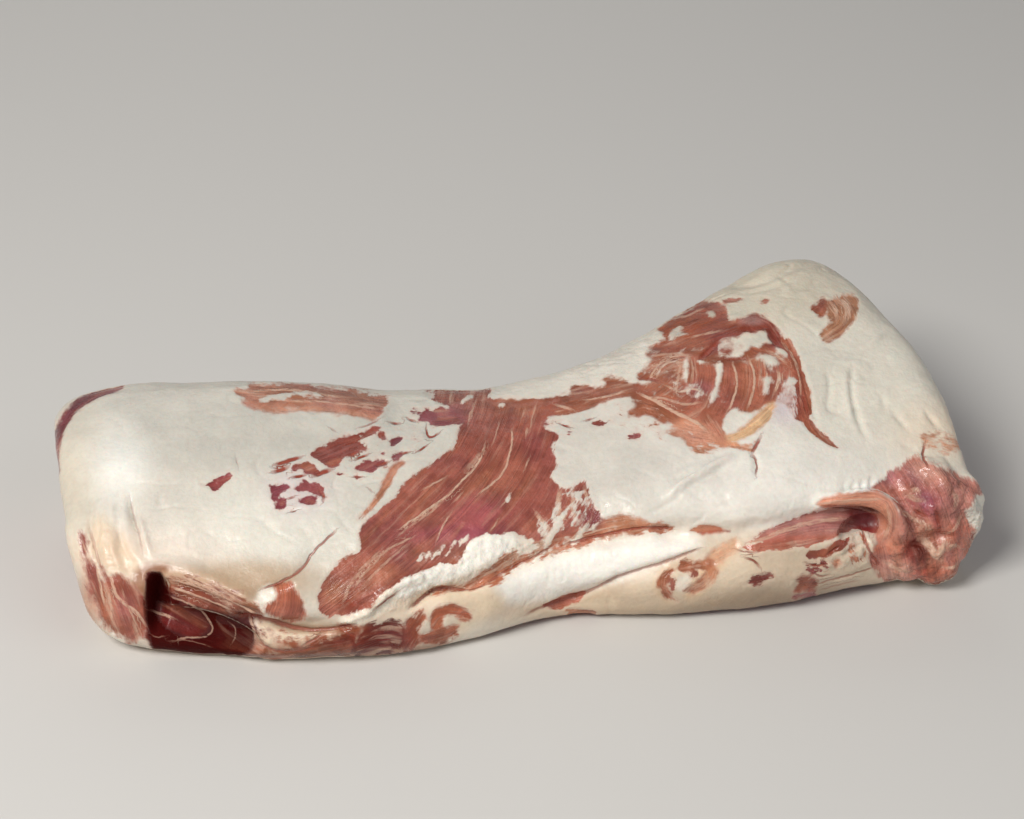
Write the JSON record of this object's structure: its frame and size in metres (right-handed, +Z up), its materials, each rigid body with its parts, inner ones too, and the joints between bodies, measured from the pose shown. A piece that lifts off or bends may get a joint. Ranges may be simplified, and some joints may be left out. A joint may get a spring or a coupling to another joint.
{
  "type": "boneless pork neck",
  "caption": "Whole raw boneless pork neck: a long trimmed block of red muscle under a pale fat cover, bent in the middle, lying fat side up on its flat underside.",
  "frame": {"origin": "middle of the block's footprint box, on the surface it lies on", "axes": "+X along the neck from the narrow head end to the wide shoulder end, +Y from the front flank to the back, +Z up through the fat side"},
  "size_m": [0.3938, 0.2146, 0.0855],
  "materials": {
    "pork_neck": "raw meat: pale damp fat over red streaked muscle"
  },
  "bodies": {
    "root": {"pork_neck": "pork_neck"}
  },
  "joints": []
}
